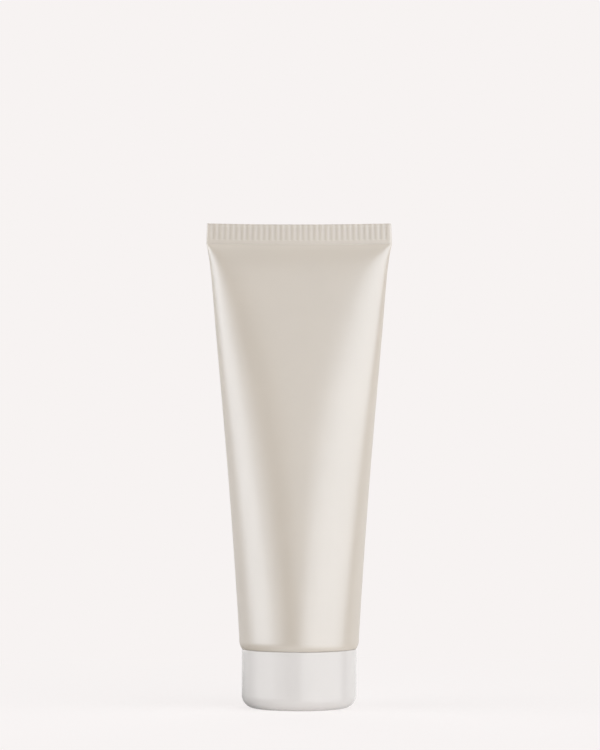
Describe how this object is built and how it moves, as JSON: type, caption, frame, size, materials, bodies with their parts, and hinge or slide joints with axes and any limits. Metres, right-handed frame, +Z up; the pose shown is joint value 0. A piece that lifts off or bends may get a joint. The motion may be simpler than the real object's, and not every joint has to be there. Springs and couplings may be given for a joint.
{
  "type": "facial cleanser tube",
  "caption": "Plastic squeeze tube standing on a wide screw cap, round at the head and pressed flat into a ribbed heat seal at the other end.",
  "frame": {"origin": "centre of the cap's flat foot, on the surface that the tube stands on", "axes": "+Z up along the tube's axis from the cap to the seal; +X along the flat seal; -Y is the front"},
  "size_m": [0.062, 0.04, 0.1616],
  "materials": {
    "sleeve": "satin",
    "head": "satin",
    "cap": "gloss",
    "cleanser": "gloss"
  },
  "bodies": {
    "cap": {"screw_cap": "cap"},
    "tube": {"tube_sleeve": "sleeve", "tube_head": "head", "cleanser": "cleanser"}
  },
  "joints": [
    {"name": "tube_lift", "type": "slide", "parent": "cap", "child": "tube", "axis": [0, 0, 1], "range_m": [0, 0.025]}
  ]
}
